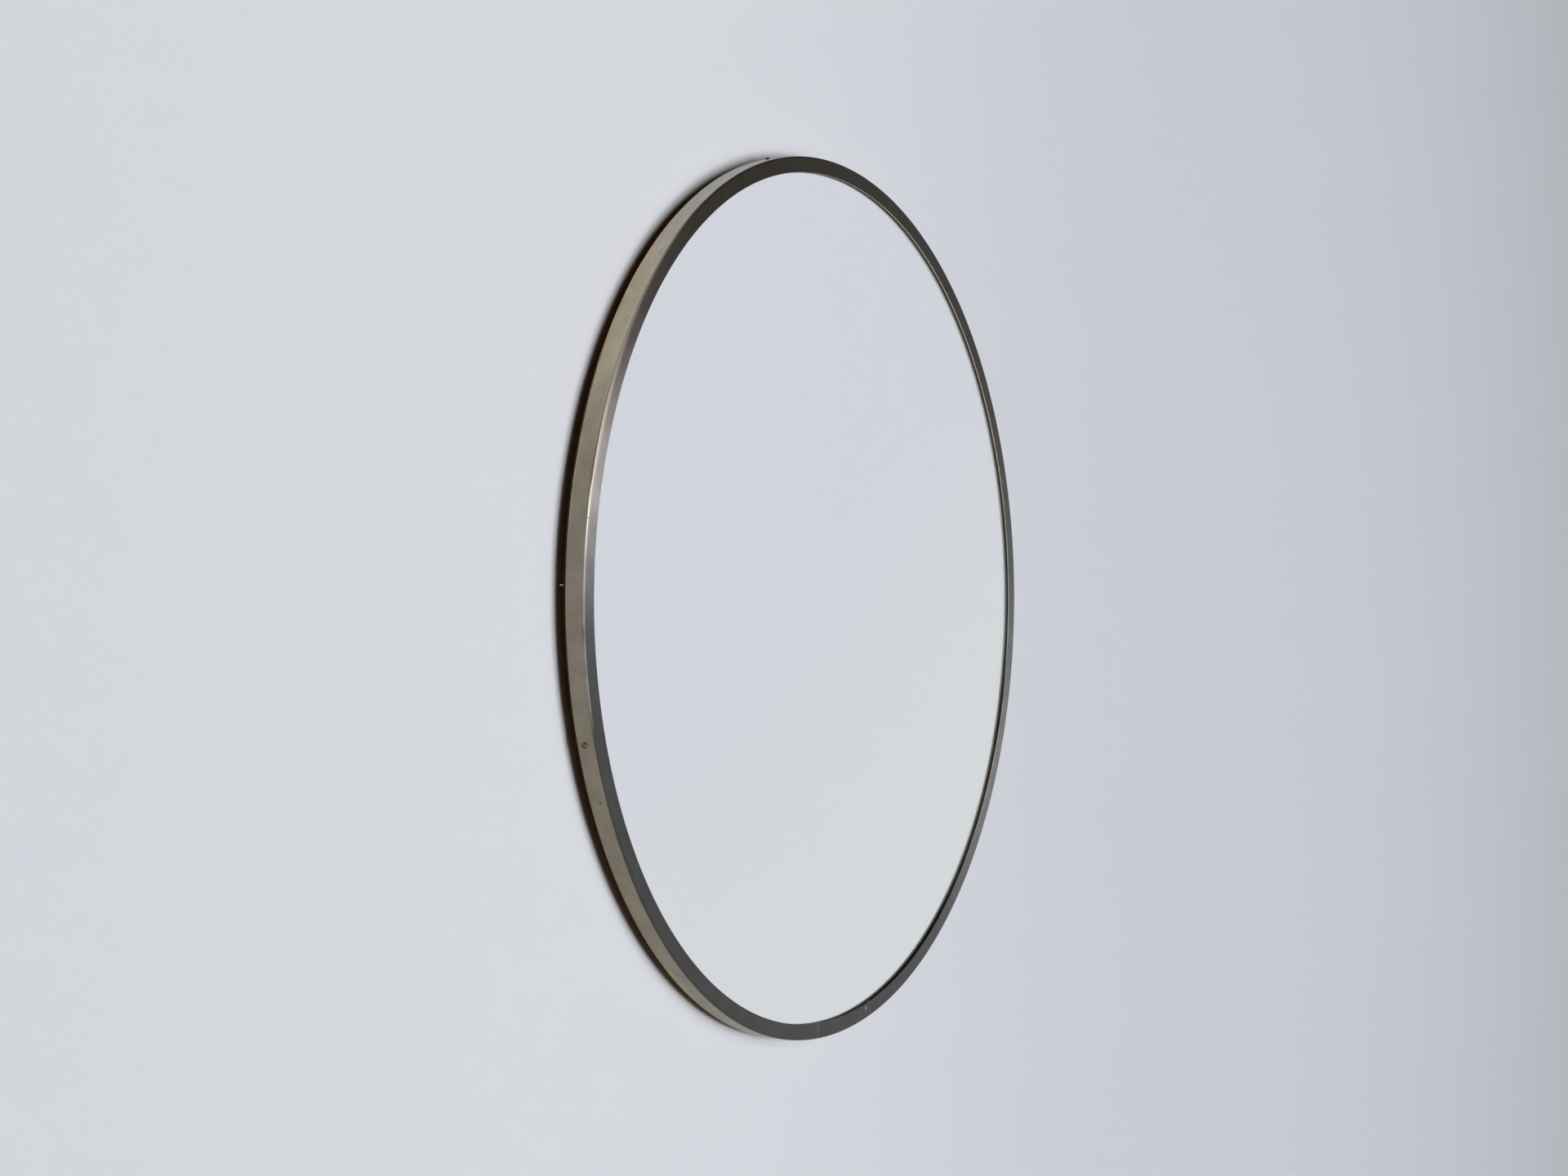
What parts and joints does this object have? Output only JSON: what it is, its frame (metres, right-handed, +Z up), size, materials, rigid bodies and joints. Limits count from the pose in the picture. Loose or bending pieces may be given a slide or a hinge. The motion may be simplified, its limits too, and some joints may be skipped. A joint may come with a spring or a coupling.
{
  "type": "round wall mirror",
  "caption": "Round silvered mirror in a narrow rim rolled from dark bronze angle, screwed to a layered board, held off the wall by a hanging cleat.",
  "frame": {"origin": "on the wall, at the middle of the hanging cleat's back face", "axes": "+Y into the wall, so the mirror faces -Y; +Z up; +X to the right as seen from in front"},
  "size_m": [1, 0.0339, 1],
  "materials": {
    "rim_bronze": "dark patinated bronze, brushed round the rim, satin",
    "silvered_glass": "polished, back silvered",
    "plywood": "bare plywood, layered edge",
    "screw_brass": "dulled, turned heads",
    "pin_steel": "bright drawn steel",
    "pine": "planed, unfinished"
  },
  "bodies": {
    "root": {"rim": "rim_bronze", "mirror_glass": "silvered_glass", "backing_board": "plywood", "rim_screw_1": "screw_brass", "rim_screw_2": "screw_brass", "rim_screw_3": "screw_brass", "rim_screw_4": "screw_brass", "nail": "pin_steel", "hanging_cleat": "pine", "lower_spacer": "pine"}
  },
  "joints": []
}
